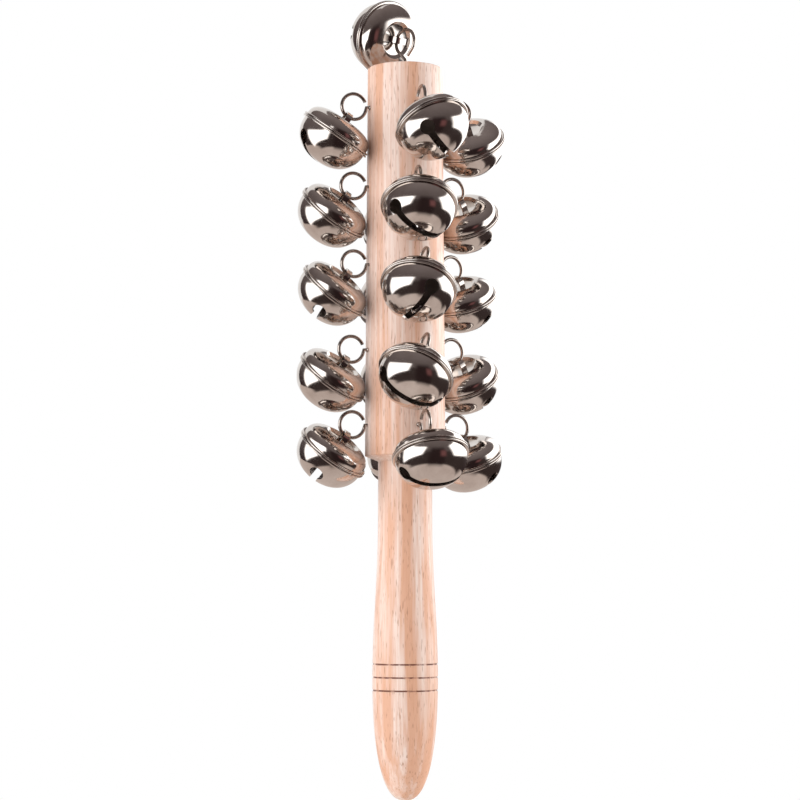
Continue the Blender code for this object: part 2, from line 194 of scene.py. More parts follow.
@dataclass(frozen=True)
class BellSize:
    """Driving sizes of a bell, in metres, with heights under the centre of its eye's loop."""

    body_radius: float = 11.4 * MM
    dome_height: float = 5.5 * MM
    bowl_depth: float = 10.5 * MM
    wall: float = 0.5 * MM
    dome_fullness: float = 2.6
    bowl_fullness: float = 2.2
    bead_overhang: float = 0.8 * MM
    bead_thickness: float = 1.5 * MM
    crimp_gap: float = 0.05 * MM
    crest_radius: float = 6.1 * MM
    recess_radius: float = 5.4 * MM
    recess_depth: float = 0.9 * MM
    recess_inset: float = 0.3 * MM
    floor_rounding: float = 0.2 * MM
    floor_flare: float = 0.25 * MM
    floor_rise: float = 0.12 * MM
    strap_width: float = 2 * MM
    strap_thickness: float = 0.5 * MM
    strap_height: float = 3.75 * MM
    strap_span: float = 5.8 * MM
    strap_fullness: float = 3
    strap_gap: float = 0.4 * MM
    slot_width: float = 2.3 * MM
    slot_hole_radius: float = 2.4 * MM
    slot_reach: float = math.radians(56)
    ball_radius: float = 2.5 * MM
    ball_gap: float = 0.4 * MM
    ball_side_gap: float = 0.6 * MM
    sides: int = 96

    @property
    def recess_floor(self) -> float:
        """Height of the recess that the strap stands in."""
        eye = EyeSize()
        underside = -eye.loop_radius + eye.wire_radius + self.strap_gap
        return underside + self.strap_thickness - self.strap_height

    @property
    def seam(self) -> float:
        """Height of the seam between the two shells."""
        return self.recess_floor + self.recess_depth - self.dome_height


@dataclass(frozen=True)
class Hanger:
    """One eye and how its bell has settled.

    Attributes:
        name: Name of the place, as in the frame's nodes.
        place: Frame of the eye, with X out of the wood.
        reach: Distance from the wood to the loop's centre.
        mouth: Distance of the wire's free end from the middle of its shank.
        hang: How the bell hangs on the loop before it swings.
        slot_turn: Turn of the slot about the bell's axis.
    """

    name: str
    place: Matrix
    reach: float
    mouth: float
    hang: Matrix
    slot_turn: float


def oval(radius: float, height: float, fullness: float, start: float, end: float, steps: int) -> PROFILE:
    """Points of an oval's quarter.

    Args:
        radius: Widest radius.
        height: Height on the axis.
        fullness: 2 for an ellipse, more for a fuller shape.
        start: First turn, 0 at the widest place.
        end: Last turn, a quarter turn on the axis.
        steps: Number of steps.

    Returns:
        Points (r, z).
    """
    points = []
    for i in range(steps + 1):
        turn = start + (end - start) * i / steps
        across = max(math.cos(turn), 0) ** (2 / fullness)
        points.append((radius * across, height * max(math.sin(turn), 0) ** (2 / fullness)))
    return points


def arc(centre: tuple[float, float], radius: float, start: float, end: float, steps: int) -> PROFILE:
    """Points of a circle's arc, with turns in degrees."""
    turns = [math.radians(start + (end - start) * i / steps) for i in range(steps + 1)]
    return [(centre[0] + radius * math.cos(t), centre[1] + radius * math.sin(t)) for t in turns]


def lathe(name: str, profile: PROFILE, sides: int, closed: bool = False) -> bpy.types.Mesh:
    """Turn an outline about Z.

    Args:
        name: Name of the mesh.
        profile: Points (r, z), from the top down the outer side.
        sides: Number of flats.
        closed: True where the outline's end meets its start.

    Returns:
        The closed mesh, shaded smooth with its corners sharp.
    """
    work = bmesh.new()
    ring = [work.verts.new((r, 0, z)) for r, z in profile]
    edges = [work.edges.new(pair) for pair in zip(ring, ring[1:])]
    if closed:
        edges.append(work.edges.new((ring[-1], ring[0])))
    bmesh.ops.spin(
        work,
        geom=ring + edges,
        cent=(0, 0, 0),
        axis=(0, 0, 1),
        angle=math.tau,
        steps=sides,
        use_merge=True,
        use_duplicate=False,
    )
    bmesh.ops.remove_doubles(work, verts=work.verts, dist=0.001 * MM)
    bmesh.ops.recalc_face_normals(work, faces=work.faces)
    mesh = bpy.data.meshes.new(name)
    work.to_mesh(mesh)
    work.free()
    finish_mesh(mesh)
    return mesh


def finish_mesh(mesh: bpy.types.Mesh, sharp_above: float = 35) -> None:
    """Shade a mesh smooth and keep its corners sharp."""
    mesh.shade_smooth()
    mesh.set_sharp_from_angle(angle=math.radians(sharp_above))


def tube(name: str, path: list[Vector], radii: list[float], sides: int = 20) -> bpy.types.Mesh:
    """Sweep a round wire along a path in the XZ plane.

    Args:
        name: Name of the mesh.
        path: Points of the wire's middle.
        radii: Radius at each point.
        sides: Number of flats round the wire.

    Returns:
        The closed mesh.
    """
    work = bmesh.new()
    rings = []
    across = Vector((0, 1, 0))
    for i, (point, radius) in enumerate(zip(path, radii)):
        before = path[max(i - 1, 0)]
        after = path[min(i + 1, len(path) - 1)]
        side = (after - before).normalized().cross(across)
        turns = [math.tau * k / sides for k in range(sides)]
        rings.append(
            [work.verts.new(point + radius * (math.cos(t) * side + math.sin(t) * across)) for t in turns]
        )
    for low, high in zip(rings, rings[1:]):
        for k in range(sides):
            n = (k + 1) % sides
            work.faces.new((low[k], low[n], high[n], high[k]))
    work.faces.new(rings[0])
    work.faces.new(rings[-1])
    bmesh.ops.recalc_face_normals(work, faces=work.faces)
    mesh = bpy.data.meshes.new(name)
    work.to_mesh(mesh)
    work.free()
    finish_mesh(mesh, 50)
    return mesh


def remember_place(mesh: bpy.types.Mesh) -> None:
    """Keep every point's place in the piece's own frame for its finish."""
    places = [axis for vertex in mesh.vertices for axis in vertex.co]
    mesh.attributes.new(OWN_PLACE, "FLOAT_VECTOR", "POINT").data.foreach_set("vector", places)


def join_values(
    tree: bpy.types.NodeTree, operation: str, first: bpy.types.NodeSocket, second: object
) -> bpy.types.NodeSocket:
    """Join a value with a number or another value.

    Args:
        tree: Tree that takes the node.
        operation: Name of the operation.
        first: The value.
        second: A number or a socket.

    Returns:
        The result's socket.
    """
    made = tree.nodes.new("ShaderNodeMath")
    made.operation = operation
    tree.links.new(first, made.inputs[0])
    if isinstance(second, bpy.types.NodeSocket):
        tree.links.new(second, made.inputs[1])
    else:
        made.inputs[1].default_value = second
    return made.outputs[0]


def blend_colors(
    tree: bpy.types.NodeTree, mask: bpy.types.NodeSocket, first: object, second: Color
) -> bpy.types.NodeSocket:
    """Blend from one colour to another.

    Args:
        tree: Tree that takes the node.
        mask: Share of the second colour.
        first: A colour or a socket.
        second: The second colour.

    Returns:
        The result's socket.
    """
    mix = tree.nodes.new("ShaderNodeMix")
    mix.data_type = "RGBA"
    tree.links.new(mask, mix.inputs["Factor"])
    if isinstance(first, bpy.types.NodeSocket):
        tree.links.new(first, mix.inputs["A"])
    else:
        mix.inputs["A"].default_value = (*first, 1)
    mix.inputs["B"].default_value = (*second, 1)
    return mix.outputs["Result"]


class Finish:
    """A node material that is built on a Principled shader."""

    name = "finish"

    def __init__(self) -> None:
        """Start with an empty Principled material."""
        self.material = bpy.data.materials.new(self.name)
        self.material.use_nodes = True
        self.tree = self.material.node_tree
        self.shader = self.tree.nodes["Principled BSDF"]
        self.build()

    def build(self) -> None:
        """Add the nodes of the finish."""
        raise NotImplementedError

    def node(self, kind: str, **values: object) -> bpy.types.Node:
        """Add a node and set its properties and sockets.

        Args:
            kind: Blender's name of the node type.
            **values: Properties by name, or sockets as name with a value.

        Returns:
            The node.
        """
        made = self.tree.nodes.new(kind)
        for key, value in values.items():
            if hasattr(made, key):
                setattr(made, key, value)
            else:
                made.inputs[key.replace("_", " ")].default_value = value
        return made

    def link(self, source: bpy.types.NodeSocket, target: bpy.types.NodeSocket) -> None:
        """Join two sockets."""
        self.tree.links.new(source, target)

    def noise(self, stretch: tuple[float, float, float], scale: float, detail: float) -> bpy.types.Node:
        """A noise in object space, stretched along an axis.

        Args:
            stretch: Factor on each axis.
            scale: Noise scale per metre.
            detail: Noise detail.

        Returns:
            The noise node.
        """
        place = self.node("ShaderNodeTexCoord")
        mapping = self.node("ShaderNodeMapping", Scale=stretch)
        self.link(place.outputs["Object"], mapping.inputs["Vector"])
        noise = self.node("ShaderNodeTexNoise", Scale=scale, Detail=detail)
        self.link(mapping.outputs["Vector"], noise.inputs["Vector"])
        return noise

    def ramp(self, source: bpy.types.NodeSocket, stops: list[tuple[float, tuple]]) -> bpy.types.Node:
        """A colour ramp over a value.

        Args:
            source: Socket that gives the value.
            stops: Positions with their colours.

        Returns:
            The ramp node.
        """
        ramp = self.node("ShaderNodeValToRGB")
        elements = ramp.color_ramp.elements
        while len(elements) < len(stops):
            elements.new(0.5)
        for element, (position, color) in zip(elements, stops):
            element.position = position
            element.color = (*color, 1)
        self.link(source, ramp.inputs["Fac"])
        return ramp

    def math(self, operation: str, first: bpy.types.NodeSocket, second: object) -> bpy.types.NodeSocket:
        """Join a value with a number or another value."""
        return join_values(self.tree, operation, first, second)

    def bump(self, source: bpy.types.NodeSocket, strength: float, depth: float) -> bpy.types.Node:
        """A bump from a height, fed to the shader's normal."""
        bump = self.node("ShaderNodeBump", Strength=strength, Distance=depth)
        self.link(source, bump.inputs["Height"])
        self.link(bump.outputs["Normal"], self.shader.inputs["Normal"])
        return bump


class Plating(Finish):
    """Bright plate with faint rub marks and uneven gloss."""

    name = "nickel_plate"
    dull = (0.56, 0.5, 0.46)
    bright = (0.7, 0.65, 0.61)
    gloss = (0.07, 0.16)
    metallic = 1.0
    cloud_scale = 160
    rub_scale = 500
    rub_stretch = (1, 1, 6)
    dent_strength = 0.15
    dent_depth = 0.05 * MM

    def build(self) -> None:
        """Add cloudy colour, uneven roughness and shallow dents."""
        self.shader.inputs["Metallic"].default_value = self.metallic
        clouds = self.noise(EVEN, self.cloud_scale, 4)
        tint = self.ramp(clouds.outputs["Fac"], [(0.3, self.dull), (0.7, self.bright)])
        self.link(tint.outputs["Color"], self.shader.inputs["Base Color"])
        rubbed = self.noise(self.rub_stretch, self.rub_scale, 5)
        low, high = self.gloss
        rough = self.node("ShaderNodeMapRange")
        rough.inputs["To Min"].default_value = low
        rough.inputs["To Max"].default_value = high
        self.link(rubbed.outputs["Fac"], rough.inputs["Value"])
        self.link(rough.outputs["Result"], self.shader.inputs["Roughness"])
        self.bump(clouds.outputs["Fac"], self.dent_strength, self.dent_depth)


class WirePlate(Plating):
    """Plate of the eyes' wire, duller than the bells."""

    name = "wire_plate"
    dull = (0.36, 0.31, 0.28)
    bright = (0.56, 0.5, 0.46)
    gloss = (0.12, 0.26)


class PaintedShadeInside(Plating):
    """The inside of the shells: rougher than the outside, with dark colours painted in as the shade inside
    the bell.
    """

    name = "shell_inside_painted_shade"
    # Painted shade: dark colours for the hollow, where little light comes in through the slot.
    dull = (0.2, 0.15, 0.13)
    bright = (0.38, 0.3, 0.26)
    gloss = (0.3, 0.5)
    metallic = 0.4


class SheetEdge(Plating):
    """The cut edge of the shells' sheet."""

    name = "sheet_edge"
    gloss = (0.2, 0.35)


class BallSteel(Plating):
    """Plain steel of the loose balls."""

    name = "ball_steel"
    dull = (0.5, 0.48, 0.46)
    bright = (0.62, 0.6, 0.58)
    gloss = (0.06, 0.14)


class Beech(Finish):
    """Varnished beech with fine dashes along its grain and burnt rings."""

    name = "beech"
    pale = (0.77, 0.61, 0.54)
    warm = (0.66, 0.37, 0.25)
    streak = (0.62, 0.32, 0.2)
    dash = (0.36, 0.16, 0.09)
    burnt = (0.13, 0.035, 0.02)
    ring_half = 0.34 * MM
    ring_core = 0.16 * MM
    ring_patches = 420
    grain_scale, grain_stretch = 210, (1, 1, 0.05)
    line_scale, line_stretch = 1500, (1, 1, 0.03)
    dash_scale, dash_stretch = 2700, (1, 1, 0.1)
    pore_strength = 0.12
    pore_depth = 0.05 * MM

    def __init__(self, ring_heights: list[float]) -> None:
        """Note where the rings are burnt before the material is built.

        Args:
            ring_heights: Height of every ring in the stick's own frame.
        """
        self.ring_heights = ring_heights
        super().__init__()

    def rings(self) -> bpy.types.NodeSocket:
        """Mark the burnt rings, broken up along them.

        Returns:
            A mask that is light on the rings.
        """
        place = self.node("ShaderNodeAttribute", attribute_name=OWN_PLACE)
        split = self.node("ShaderNodeSeparateXYZ")
        self.link(place.outputs["Vector"], split.inputs["Vector"])
        total = None
        for height in self.ring_heights:
            off = self.math("ABSOLUTE", self.math("SUBTRACT", split.outputs["Z"], height), 0)
            near = self.node("ShaderNodeMapRange")
            near.inputs["From Min"].default_value = self.ring_half
            near.inputs["From Max"].default_value = self.ring_core
            self.link(off, near.inputs["Value"])
            total = self.math("MAXIMUM", total, near.outputs["Result"]) if total else near.outputs["Result"]
        broken = self.mask(self.noise(EVEN, self.ring_patches, 3), (0.36, 0.15), (0.52, 0.95))
        return self.math("MULTIPLY", total, broken)

    def mask(
        self, noise: bpy.types.Node, low: tuple[float, float], high: tuple[float, float]
    ) -> bpy.types.NodeSocket:
        """A grey value of a noise, from two positions with their values."""
        stops = [(position, (value,) * 3) for position, value in (low, high)]
        return self.ramp(noise.outputs["Fac"], stops).outputs["Color"]

    def build(self) -> None:
        """Add broad grain, fine streaks and dashes, burnt rings and the varnish."""
        grain = self.noise(self.grain_stretch, self.grain_scale, 4)
        wood = self.ramp(grain.outputs["Fac"], [(0.4, self.warm), (0.56, self.pale)])
        color = wood.outputs["Color"]
        lines = self.mask(self.noise(self.line_stretch, self.line_scale, 3), (0.42, 0), (0.7, 0.6))
        dashes = self.noise(self.dash_stretch, self.dash_scale, 1)
        flecks = self.mask(dashes, (0.62, 0), (0.7, 0.6))
        for mask, tint in ((lines, self.streak), (flecks, self.dash), (self.rings(), self.burnt)):
            color = blend_colors(self.tree, mask, color, tint)
        self.link(color, self.shader.inputs["Base Color"])
        self.shader.inputs["Roughness"].default_value = 0.5
        self.shader.inputs["Specular IOR Level"].default_value = 0.3
        self.shader.inputs["Coat Weight"].default_value = 0.3
        self.shader.inputs["Coat Roughness"].default_value = 0.35
        self.bump(dashes.outputs["Fac"], self.pore_strength, self.pore_depth)


@dataclass
class Assembly:
    """A group of pieces that is built and then dressed in its finishes."""

    collection: bpy.types.Collection
    pieces: list[bpy.types.Object] = field(default_factory=list)

    def add(self, name: str, mesh: bpy.types.Mesh, place: Matrix, body: str, slot: Slot) -> bpy.types.Object:
        """Put a piece at its place and let it ride on a body.

        Args:
            name: Name of the piece.
            mesh: Its mesh, in its own frame.
            place: Its frame in the row frame.
            body: Body of the frame that it rides on.
            slot: Material slot of the record; not used.

        Returns:
            The new object.
        """
        own = mesh.copy()
        remember_place(own)
        own.transform(place.to_3x3().to_4x4())
        piece = bpy.data.objects.new(name, own)
        piece.location = place.translation
        self.collection.objects.link(piece)
        bpy.context.view_layer.update()
        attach(piece, body)
        self.pieces.append(piece)
        LOG.info("%s rides on %s", name, body)
        return piece

    def paint(self, piece: bpy.types.Object, *finishes: Finish) -> None:
        """Give a piece its finishes, in the order of its faces' sides."""
        for finish in finishes:
            piece.data.materials.append(finish.material)


class Stick(Assembly):
    """The turned stick."""

    size = StickSize()

    def profile(self) -> PROFILE:
        """Outline from the middle of the top down to the tip.

        Returns:
            Points (r, z).
        """
        size = self.size
        edge = size.edge_rounding
        foot = size.barrel_foot
        shoulder = foot - size.shoulder_drop
        points = [(0.0, size.barrel_top)]
        points += arc((size.barrel_top_radius - edge, size.barrel_top - edge), edge, 90, 0, 6)
        sides = [size.barrel_top - size.barrel_step * i for i in range(1, 12)]
        points += [(size.barrel_radius(z), z) for z in sides]
        points += arc((size.barrel_foot_radius - edge / 2, foot + edge / 2), edge / 2, 0, -70, 4)
        points += [(size.neck_radius + size.foot_fillet, shoulder + size.foot_lip)]
        points += [(size.neck_radius, shoulder - 0.2 * MM)]
        heights = [shoulder - 0.4 * MM - size.profile_step * i for i in range(1, 68)]
        nose = size.grip_height - size.tip
        quarter = [math.pi / 2 * i / size.nose_steps for i in range(size.nose_steps)]
        heights += [size.grip_height - nose * math.sin(turn) for turn in quarter]
        rings = size.ring_heights()
        clear = [z for z in heights if all(abs(z - ring) > size.ring_width for ring in rings)]
        handle = [(size.handle_radius(z), z) for z in clear if z > size.tip + 0.01 * MM]
        for ring in rings:
            for i in range(9):
                z = ring + size.ring_width * (i / 8 - 0.5)
                depth = size.ring_depth * math.cos(math.pi * (i / 8 - 0.5))
                handle.append((size.handle_radius(z) - depth, z))
        return points + sorted(handle, key=lambda point: -point[1]) + [(0.0, size.tip)]

    def build(self) -> None:
        """Turn the stick."""
        mesh = lathe("stick_turned", self.profile(), self.size.sides)
        piece = self.add("stick_turned", mesh, Matrix(), "stick", Slot.WOOD)
        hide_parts("stick")

    def dress(self, wood: Finish) -> None:
        """Varnish the stick."""
        self.paint(self.pieces[0], wood)


class Eyes(Assembly):
    """The screw eyes."""

    size = EyeSize()

    def wire(self, name: str, reach: float, mouth: float) -> bpy.types.Mesh:
        """Bend one eye.

        Args:
            name: Name of the mesh.
            reach: Distance from the wood to the loop's centre.
            mouth: Distance of the free end from the middle of the shank.

        Returns:
            The mesh, with the loop's centre at the origin and X out of the wood.
        """
        size = self.size
        neck = min(size.neck, reach - size.wire_radius - size.gap)
        tangent = math.acos(size.loop_radius / neck)
        opening = math.asin(mouth / size.loop_radius)
        path = [
            Vector((-reach - size.thread_length, 0, 0)),
            Vector((-reach - size.thread_length + size.thread_point, 0, 0)),
            Vector((-reach - size.thread_cover, 0, 0)),
            Vector((-reach, 0, 0)),
            Vector((-neck, 0, 0)),
        ]
        radii = [size.wire_radius / 2] + [size.thread_radius] * 2 + [size.wire_radius] * 2
        start = math.pi + tangent
        end = 3 * math.pi - max(tangent, opening)
        for i in range(size.steps + 1):
            turn = start + (end - start) * i / size.steps
            path.append(size.loop_radius * Vector((math.cos(turn), 0, math.sin(turn))))
            radii.append(size.wire_radius)
        if tangent > opening:
            share = mouth / (size.loop_radius * math.sin(tangent))
            last_x = -neck + share * (neck - size.loop_radius * math.cos(tangent))
            path.append(Vector((last_x, 0, mouth)))
            radii.append(size.wire_radius)
        return tube(name, path, radii)

    def build(self, hangers: list[Hanger]) -> None:
        """Put an eye at every place."""
        for hanger in hangers:
            mesh = self.wire(f"wire_{hanger.name}", hanger.reach, hanger.mouth)
            piece = self.add(f"wire_{hanger.name}", mesh, hanger.place, "stick", Slot.WIRE)
            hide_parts(f"eye_{hanger.name}")

    def dress(self, plate: Finish) -> None:
        """Plate the eyes."""
        for piece in self.pieces:
            self.paint(piece, plate)


class Bells(Assembly):
    """The bells with their straps and balls."""

    size = BellSize()

    def upper_outline(self) -> PROFILE:
        """Closed outline of the upper shell: recess, dome and the flange held in the bead.

        Returns:
            Points (r, z), from the recess's middle out, down and back inside.
        """
        size = self.size
        half = size.bead_thickness / 2
        crest = math.acos((size.crest_radius / size.body_radius) ** (size.dome_fullness / 2))
        rise = (size.dome_height - half) / math.sin(crest) ** (2 / size.dome_fullness)
        outer = oval(size.body_radius, rise, size.dome_fullness, crest, 0, 18)
        radius = size.body_radius - size.wall
        inner = oval(radius, rise - size.wall, size.dome_fullness, crest, 0, 18)
        floor = size.recess_floor
        base = size.seam + half
        corner = size.recess_radius - size.floor_rounding
        skin = [(0.0, floor), (corner - size.floor_flare, floor), (corner, floor + size.floor_rise)]
        skin += [(r, base + z) for r, z in outer]
        skin += self.flange(1)
        under = [(r, base + z) for r, z in reversed(inner) if base + z < floor - size.wall]
        under += [(size.recess_radius - size.recess_inset, floor - size.wall), (0.0, floor - size.wall)]
        return skin + [(radius, size.seam + size.crimp_gap)] + under

    def flange(self, side: int) -> PROFILE:
        """Rounded edge of one shell's flange.

        Args:
            side: 1 for the upper shell and -1 for the lower one.

        Returns:
            Its points from the upper side down.
        """
        size = self.size
        round_ = (size.bead_thickness / 2 - size.crimp_gap) / 2
        height = size.seam + side * (size.crimp_gap + round_)
        middle = (size.body_radius + size.bead_overhang - round_, height)
        return arc(middle, round_, 90, -90, 10)

    def lower_outline(self) -> PROFILE:
        """Outline of the lower shell: the rolled bead and the bowl, outside and inside.

        Returns:
            Points (r, z) of the closed outline.
        """
        size = self.size
        half = size.bead_thickness / 2
        outer = oval(size.body_radius, size.bowl_depth - half, size.bowl_fullness, 0, math.pi / 2, 30)
        radius = size.body_radius - size.wall
        inner = oval(radius, size.bowl_depth - half - size.wall, size.bowl_fullness, 0, math.pi / 2, 30)
        base = size.seam - half
        bowl = [(r, base - z) for r, z in outer]
        hollow = [(r, base - z) for r, z in reversed(inner)]
        bowl[-1] = (0.0, bowl[-1][1])
        hollow[0] = (0.0, hollow[0][1])
        return self.flange(-1) + bowl + hollow + [(radius, size.seam - size.crimp_gap)]

    def shell_mesh(self) -> bpy.types.Mesh:
        """The lower shell with its slot, at no turn.

        Returns:
            The mesh, with its inner faces and cut edges marked.
        """
        size = self.size
        mesh = lathe("bowl", self.lower_outline(), size.sides, closed=True)
        bowl = bpy.data.objects.new("bowl", mesh)
        self.collection.objects.link(bowl)
        cutters = [self.slot_cutter()] + [self.hole_cutter(side) for side in (-1, 1)]
        for cutter in cutters:
            modifier = bowl.modifiers.new(cutter.name, "BOOLEAN")
            modifier.object = cutter
            modifier.solver = "EXACT"
        bpy.context.view_layer.update()
        graph = bpy.context.evaluated_depsgraph_get()
        result = bpy.data.meshes.new_from_object(bowl.evaluated_get(graph))
        finish_mesh(result)
        self.sort_faces(result)
        for obj in [bowl] + cutters:
            bpy.data.objects.remove(obj, do_unlink=True)
        return result

    def sort_faces(self, mesh: bpy.types.Mesh) -> None:
        """Mark a shell's inner faces and the cut edges of its slot for their own finishes."""
        middle = Vector((0, 0, self.size.seam))
        for face in mesh.polygons:
            away = face.center - middle
            facing = face.normal.dot(away.normalized())
            if facing < -0.5:
                face.material_index = Side.INSIDE.value
            elif facing < 0.5 and away.z < -2 * MM:
                face.material_index = Side.EDGE.value

    def slot_cutter(self) -> bpy.types.Object:
        """A block that cuts the straight slot."""
        size = self.size
        out = size.body_radius * math.sin(size.slot_reach)
        cheek = size.seam - size.bowl_depth * math.cos(size.slot_reach) + size.slot_width
        work = bmesh.new()
        matrix = Matrix.Translation((0, 0, cheek - size.bowl_depth / 2))
        matrix = matrix @ Matrix.Diagonal((size.slot_width, 2 * out, size.bowl_depth, 1))
        bmesh.ops.create_cube(work, size=1, matrix=matrix)
        return self.cutter("slot", work, Matrix())

    def hole_cutter(self, side: int) -> bpy.types.Object:
        """A drill for the round hole at one end of the slot.

        Args:
            side: 1 for one end and -1 for the other.

        Returns:
            The cutting object.
        """
        size = self.size
        work = bmesh.new()
        bmesh.ops.create_cone(
            work,
            cap_ends=True,
            segments=40,
            radius1=size.slot_hole_radius,
            radius2=size.slot_hole_radius,
            depth=size.bowl_depth,
            matrix=Matrix.Translation((0, 0, -size.bowl_depth)),
        )
        place = Matrix.Translation((0, 0, size.seam)) @ Matrix.Rotation(side * size.slot_reach, 4, "X")
        return self.cutter("hole", work, place)

    def cutter(self, name: str, work: bmesh.types.BMesh, place: Matrix) -> bpy.types.Object:
        """Make a cutting object from a bmesh."""
        mesh = bpy.data.meshes.new(name)
        work.to_mesh(mesh)
        work.free()
        obj = bpy.data.objects.new(name, mesh)
        obj.matrix_world = place
        self.collection.objects.link(obj)
        return obj

    def strap_mesh(self) -> bpy.types.Mesh:
        """The flat strap, an arch across the swing.

        Returns:
            The closed mesh, with its feet in the recess's floor.
        """
        size = self.size
        foot = size.recess_floor - size.wall / 2
        rise = size.strap_height + size.wall / 2
        half = size.strap_span / 2
        thick = size.strap_thickness
        outer, inner = (
            oval(half - inset, rise - inset, size.strap_fullness, 0, math.pi / 2, 16) for inset in (0, thick)
        )
        over = outer + [(-y, z) for y, z in reversed(outer[:-1])]
        under = inner + [(-y, z) for y, z in reversed(inner[:-1])]
        work = bmesh.new()
        rows = []
        for x in (-size.strap_width / 2, size.strap_width / 2):
            rows.append([[work.verts.new((x, y, foot + z)) for y, z in line] for line in (over, under)])
        (near_over, near_under), (far_over, far_under) = rows
        strips = (
            (near_over, far_over),
            (far_under, near_under),
            (near_under, near_over),
            (far_over, far_under),
        )
        for a, b in strips:
            for i in range(len(a) - 1):
                work.faces.new((a[i], a[i + 1], b[i + 1], b[i]))
        for i in (0, len(over) - 1):
            work.faces.new((near_over[i], far_over[i], far_under[i], near_under[i]))
        bmesh.ops.recalc_face_normals(work, faces=work.faces)
        mesh = bpy.data.meshes.new("strap")
        work.to_mesh(mesh)
        work.free()
        finish_mesh(mesh)
        return mesh

    def ball_mesh(self) -> bpy.types.Mesh:
        """The loose ball."""
        work = bmesh.new()
        bmesh.ops.create_icosphere(work, subdivisions=4, radius=self.size.ball_radius)
        mesh = bpy.data.meshes.new("ball")
        work.to_mesh(mesh)
        work.free()
        finish_mesh(mesh, 180)
        return mesh

    def resting_swing(self, hanger: Hanger, stick: StickSize) -> float:
        """Swing at which a bell comes to lie on the wood.

        Args:
            hanger: The bell's eye.
            stick: Sizes of the stick.

        Returns:
            The swing from straight down, in radians.
        """
        outline = self.upper_outline() + self.lower_outline()
        turns = [math.tau * i / 48 for i in range(48)]
        skin = [
            hanger.hang @ Vector((r * math.cos(t), r * math.sin(t), z)) for r, z in outline for t in turns
        ]
        touching = 0.0
        clear = math.pi / 2
        while clear - touching > math.radians(0.01):
            middle = (touching + clear) / 2
            pose = hanger.place @ Matrix.Rotation(-middle, 4, "Y")
            if min(gap_to_wood(pose @ point, stick) for point in skin) > 0.3 * MM:
                clear = middle
            else:
                touching = middle
        return clear

    def wall_distance(self, off_pole: float) -> float:
        """Distance from the seam's centre to the bowl's inner wall.

        Args:
            off_pole: Angle off the bowl's lowest point.

        Returns:
            The distance to the flats of a bowl with few sides, as the frame's solid has them.
        """
        size = self.size
        half = size.bead_thickness / 2
        drop = size.bowl_depth - half - size.wall
        wall = oval(size.body_radius - size.wall, drop, size.bowl_fullness, 0, math.pi / 2, 4)
        flat = math.cos(math.pi / 12)
        points = [Vector((r * flat, half + z)) for r, z in wall]
        far = 2 * size.body_radius * Vector((math.sin(off_pole), math.cos(off_pole)))
        hits = [intersect_line_line_2d(Vector((0, 0)), far, a, b) for a, b in zip(points, points[1:])]
        return min(hit.length for hit in hits if hit)

    def build(self, hangers: list[Hanger], stick: StickSize, bodies: set[str]) -> None:
        """Hang every bell.

        Args:
            hangers: The eyes.
            stick: Sizes of the stick.
            bodies: Names of the frame's bodies.
        """
        dome = lathe("dome", self.upper_outline(), self.size.sides)
        self.sort_faces(dome)
        self.meshes = {
            "dome": dome,
            "bowl": self.shell_mesh(),
            "strap": self.strap_mesh(),
            "ball": self.ball_mesh(),
        }
        for hanger in hangers:
            self.hang(hanger, stick, bodies)

    def hang(self, hanger: Hanger, stick: StickSize, bodies: set[str]) -> None:
        """Hang one bell and lay its ball in it.

        Args:
            hanger: The bell's eye.
            stick: Sizes of the stick.
            bodies: Names of the frame's bodies.
        """
        size = self.size
        swing = self.resting_swing(hanger, stick)
        place = hanger.place @ Matrix.Rotation(-swing, 4, "Y") @ hanger.hang
        body = f"bell_{hanger.name}"
        turned = place @ Matrix.Rotation(hanger.slot_turn, 4, "Z")
        bowl = self.add(f"bowl_{hanger.name}", self.meshes["bowl"], turned, body, Slot.BELL)
        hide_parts(body)
        self.add(f"dome_{hanger.name}", self.meshes["dome"], place, body, Slot.BELL)
        self.add(f"strap_{hanger.name}", self.meshes["strap"], place, body, Slot.BELL)
        seam = place @ Vector((0, 0, size.seam))
        down = Vector((0, 0, -1))
        drop = self.wall_distance(hanger.hang.to_quaternion().angle) - size.ball_gap - size.ball_radius
        if hanger.name == "top":
            axis = place.to_3x3() @ Vector((0, 0, 1))
            down = (down - down.dot(axis) * axis).normalized()
            drop = size.body_radius - size.wall - size.ball_side_gap - size.ball_radius
        node = f"ball_{hanger.name}"
        ball_body = node if node in bodies else body
        rest = Matrix.Translation(seam + drop * down)
        ball = self.add(f"shot_{hanger.name}", self.meshes["ball"], rest, ball_body, Slot.BALL)
        if ball_body == node:
            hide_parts(node)

    def dress(self, plate: Finish, inside: Finish, edge: Finish, steel: Finish) -> None:
        """Plate the shells outside, give their inside its dark finish of painted shade, and leave their cut
        edges and the balls plain.
        """
        for piece in self.pieces:
            if piece.name.startswith("shot"):
                self.paint(piece, steel)
            else:
                self.paint(piece, plate, inside, edge)


def lean_matrix(lean: float) -> Matrix:
    """Tilt of a bell across its swing, about the wire that its strap hangs on."""
    down = Matrix.Translation((0, 0, -EyeSize().loop_radius))
    return down @ Matrix.Rotation(lean, 4, "X") @ down.inverted()


def gap_to_wood(point: Vector, stick: StickSize) -> float:
    """Distance from a point to the barrel or the neck under it, below zero inside the wood."""
    out = math.hypot(point.x, point.y)
    beyond = max(point.z - stick.barrel_top, stick.barrel_foot - point.z)
    beside = out - stick.barrel_radius(min(max(point.z, stick.barrel_foot), stick.barrel_top))
    barrel = math.hypot(beside, beyond) if beside > 0 and beyond > 0 else max(beside, beyond)
    return min(barrel, max(out - stick.neck_radius, point.z - stick.barrel_foot))


